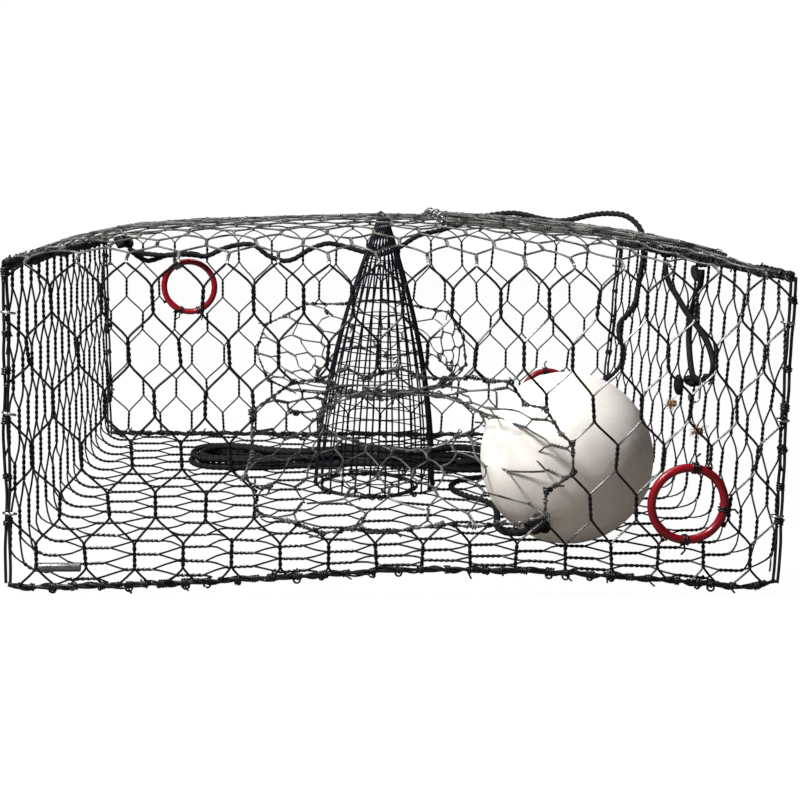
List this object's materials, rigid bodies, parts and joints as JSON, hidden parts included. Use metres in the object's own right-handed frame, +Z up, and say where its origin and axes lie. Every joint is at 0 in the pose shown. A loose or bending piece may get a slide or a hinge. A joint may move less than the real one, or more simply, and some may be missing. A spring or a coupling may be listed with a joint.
{
  "type": "crab trap",
  "caption": "Square wire-mesh crab trap with funnel mouths, bait well, hinged top door, escape rings, float and line.",
  "frame": {"origin": "on the ground under the middle of the box", "axes": "+X to the right seen from the front mouth, +Y to the back, +Z up"},
  "size_m": [0.6176, 0.5923, 0.2878],
  "materials": {
    "elastic": "black elastic cord",
    "escape": "glossy red moulded plastic",
    "foam": "white expanded bead foam",
    "jute": "tan jute twine",
    "mesh_shell": "black PVC coat on fine mesh",
    "ring": "bright galvanised wire",
    "rope": "black twisted rope",
    "selvage": "black coated lacing wire, semi-gloss",
    "wire": "black PVC-coated wire, semi-gloss",
    "zinc": "dull grey cast zinc"
  },
  "bodies": {
    "trap": {"access_door_ring_1": "ring", "access_door_ring_2": "ring", "access_door_ring_3": "ring", "back_funnel": "mesh_shell", "back_left_seam": "selvage", "back_panel": "wire", "back_right_seam": "selvage", "bait_door_ring_1": "ring", "bait_door_ring_2": "ring", "bait_well": "mesh_shell", "bottom_back_seam": "selvage", "bottom_front_seam": "selvage", "door_hook": "ring", "elastic_knot_front": "elastic", "elastic_knot_rear": "elastic", "elastic_loop": "elastic", "escape_clip_back_high_1": "ring", "escape_clip_back_high_2": "ring", "escape_clip_back_low_1": "ring", "escape_clip_back_low_2": "ring", "escape_clip_front_1": "ring", "escape_clip_front_2": "ring", "escape_ring_back_high": "escape", "escape_ring_back_low": "escape", "escape_ring_front": "escape", "floor_panel": "wire", "front_funnel": "mesh_shell", "front_left_seam": "selvage", "front_panel": "wire", "front_right_seam": "selvage", "hog_ring_back_left_1": "ring", "hog_ring_back_left_2": "ring", "hog_ring_back_right_1": "ring", "hog_ring_back_right_2": "ring", "hog_ring_front_left_1": "ring", "hog_ring_front_left_2": "ring", "hog_ring_front_left_3": "ring", "hog_ring_front_right_1": "ring", "hog_ring_front_right_2": "ring", "hog_ring_front_right_3": "ring", "jute_tie_1": "jute", "jute_tie_2": "jute", "left_wall": "wire", "right_wall": "wire", "rope_hank": "rope", "rope_start_knot": "rope", "rope_stopper_knot": "rope", "rope_tail": "rope", "rope_upper": "rope", "top_left_seam": "selvage", "top_panel": "wire", "top_right_seam": "selvage", "zinc_anode": "zinc"},
    "access_door": {"access_door": "wire"},
    "bait_door": {"bait_door": "wire"},
    "float": {"float": "foam"}
  },
  "joints": [
    {"name": "access_door_hinge", "type": "hinge", "parent": "trap", "child": "access_door", "pos_m": [0.045, -0.044, 0.28448], "axis": [0, -1, 0], "range_deg": [0, 110]},
    {"name": "bait_door_hinge", "type": "hinge", "parent": "trap", "child": "bait_door", "pos_m": [-0.007, -0.0461, 0.00485], "axis": [-1, 0, 0], "range_deg": [0, 90]},
    {"name": "float_spin", "type": "hinge", "parent": "trap", "child": "float", "pos_m": [0.1515, -0.1879, 0.08115], "axis": [-0.4037, -0.7424, -0.5346], "continuous": true}
  ]
}
